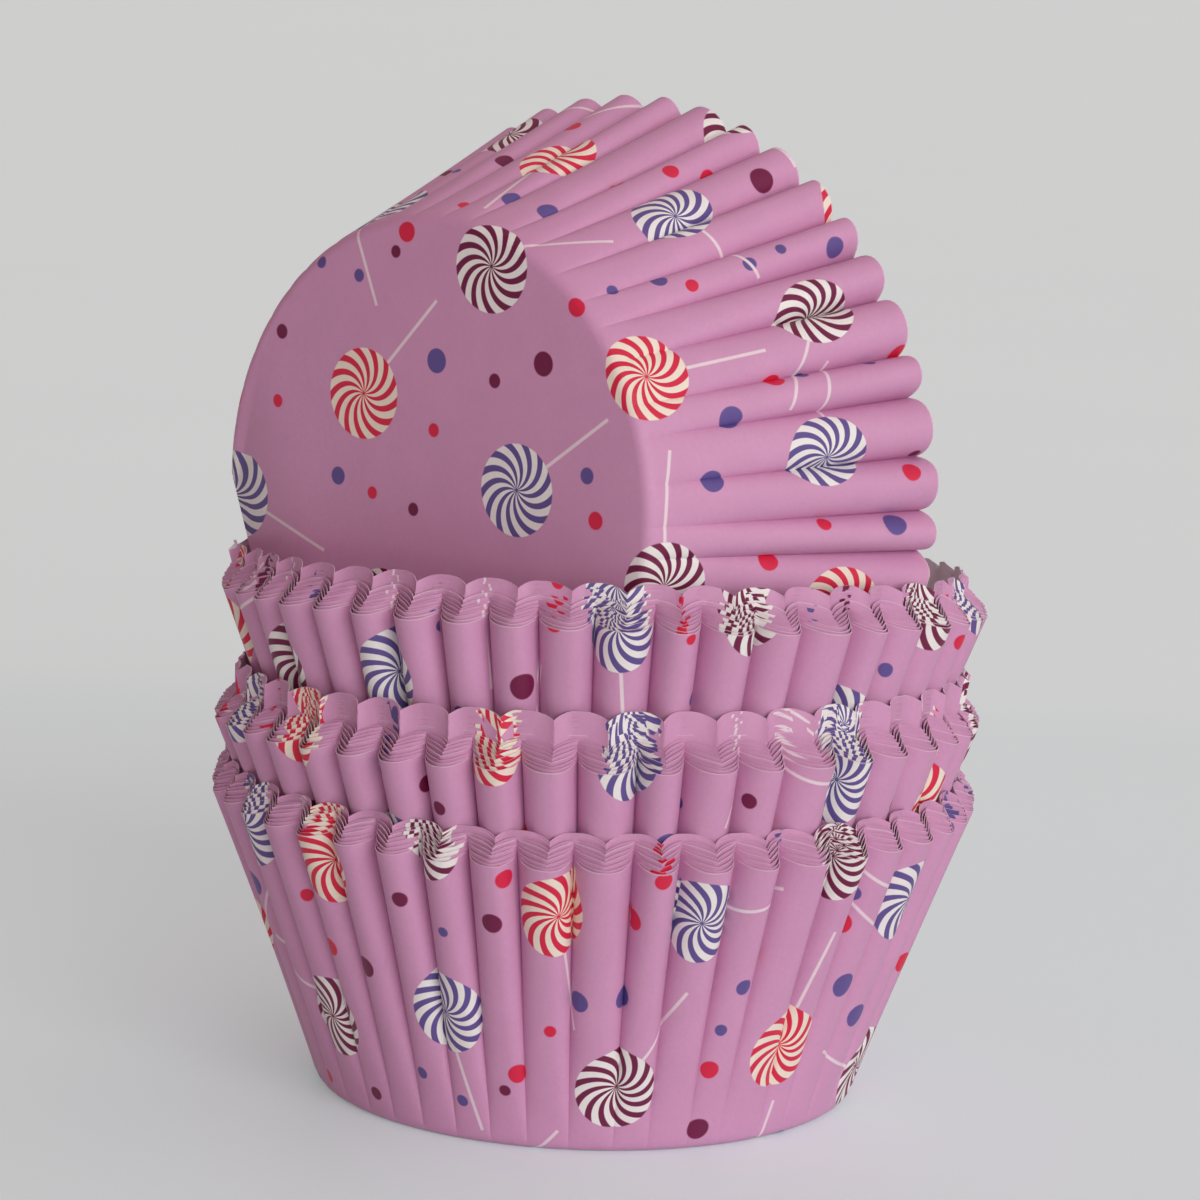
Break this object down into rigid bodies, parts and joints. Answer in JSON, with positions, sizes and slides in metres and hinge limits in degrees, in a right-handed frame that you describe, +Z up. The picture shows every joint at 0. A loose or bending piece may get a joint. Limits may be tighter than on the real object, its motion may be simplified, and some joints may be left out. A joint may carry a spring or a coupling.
{
  "type": "stack of cupcake liners",
  "caption": "Three nests of fluted round paper baking cups seated one in the other, with one more cup lying on its side in the top nest.",
  "frame": {"origin": "centre of the underside of the lowest liner's base, where the stack rests", "axes": "+Z up along the lower nest's axis, +Y away from the viewer of the picture, +X to their right"},
  "size_m": [0.0725, 0.0729, 0.093],
  "materials": {
    "printed_paper": "matt printed paper, pink outside and white inside"
  },
  "bodies": {
    "root": {"lower_nest_liner_1": "printed_paper", "lower_nest_liner_2": "printed_paper", "lower_nest_liner_3": "printed_paper", "middle_nest_liner_1": "printed_paper", "middle_nest_liner_2": "printed_paper", "middle_nest_liner_3": "printed_paper", "middle_nest_liner_4": "printed_paper", "middle_nest_liner_5": "printed_paper", "middle_nest_liner_6": "printed_paper", "upper_nest_liner_1": "printed_paper", "upper_nest_liner_2": "printed_paper", "upper_nest_liner_3": "printed_paper", "upper_nest_liner_4": "printed_paper", "upper_nest_liner_5": "printed_paper", "tipped_liner": "printed_paper"}
  },
  "joints": []
}
